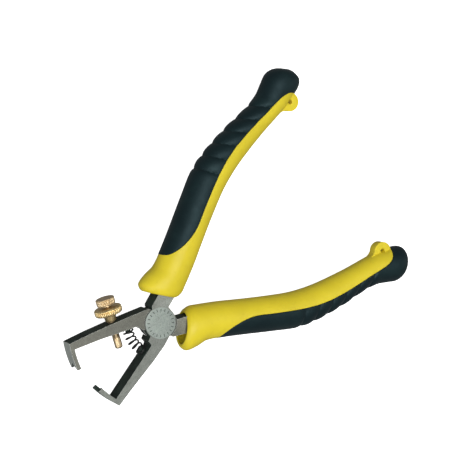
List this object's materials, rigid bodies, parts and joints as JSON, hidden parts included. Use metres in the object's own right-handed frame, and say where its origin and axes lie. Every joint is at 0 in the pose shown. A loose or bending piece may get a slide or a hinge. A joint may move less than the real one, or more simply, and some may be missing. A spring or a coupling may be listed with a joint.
{
  "type": "wire stripper",
  "caption": "Spring-opened end wire stripper with bypassing V-notched hooks, a riveted lap joint, a stop screw with lock nut and moulded two-part grips.",
  "frame": {"origin": "centre of the rivet's back face, on the pivot's axis", "axes": "+X from the jaws to the handles, halfway between the two levers; +Y to the outer side of the front lever's handle; +Z square to the flat side, towards the face that shows the front lever's round boss"},
  "size_m": [0.1485, 0.11, 0.016],
  "materials": {
    "lever_steel": "satin, lightly oiled",
    "rivet_steel": "ground",
    "spring_steel": "blackened",
    "brass": "turned, knurled",
    "yellow_plastic": "semi-gloss moulded",
    "black_rubber": "soft matt"
  },
  "bodies": {
    "front_lever": {"front_lever": "lever_steel", "pivot_rivet": "rivet_steel", "front_spring_peg": "rivet_steel", "opening_spring": "spring_steel", "front_grip_sleeve": "yellow_plastic", "front_grip_cover": "black_rubber"},
    "rear_lever": {"rear_lever": "lever_steel", "rear_spring_peg": "rivet_steel", "rear_grip_sleeve": "yellow_plastic", "rear_grip_cover": "black_rubber"},
    "lock_nut": {"lock_nut": "brass"},
    "adjusting_screw": {"adjusting_screw": "brass"}
  },
  "joints": [
    {"name": "handle_hinge", "type": "hinge", "parent": "front_lever", "child": "rear_lever", "pos_m": [0, 0, 0.0043], "axis": [0, 0, 1], "range_deg": [0, 26], "stiffness_Nm_per_rad": 0.25, "springref_deg": -11.46, "deforming": ["opening_spring"]},
    {"name": "adjuster_turn", "type": "hinge", "parent": "rear_lever", "child": "lock_nut", "pos_m": [-0.01732, 0.00668, 0.0043], "axis": [0.313, 0.9498, 0], "range_deg": [0, 2880]},
    {"name": "adjuster_travel", "type": "slide", "parent": "lock_nut", "child": "adjusting_screw", "axis": [0.313, 0.9498, 0], "range_m": [0, 0.004]}
  ],
  "couplings": [
    {"joint": "adjuster_turn", "follows": "adjuster_travel", "rad_per_m": 12566}
  ]
}
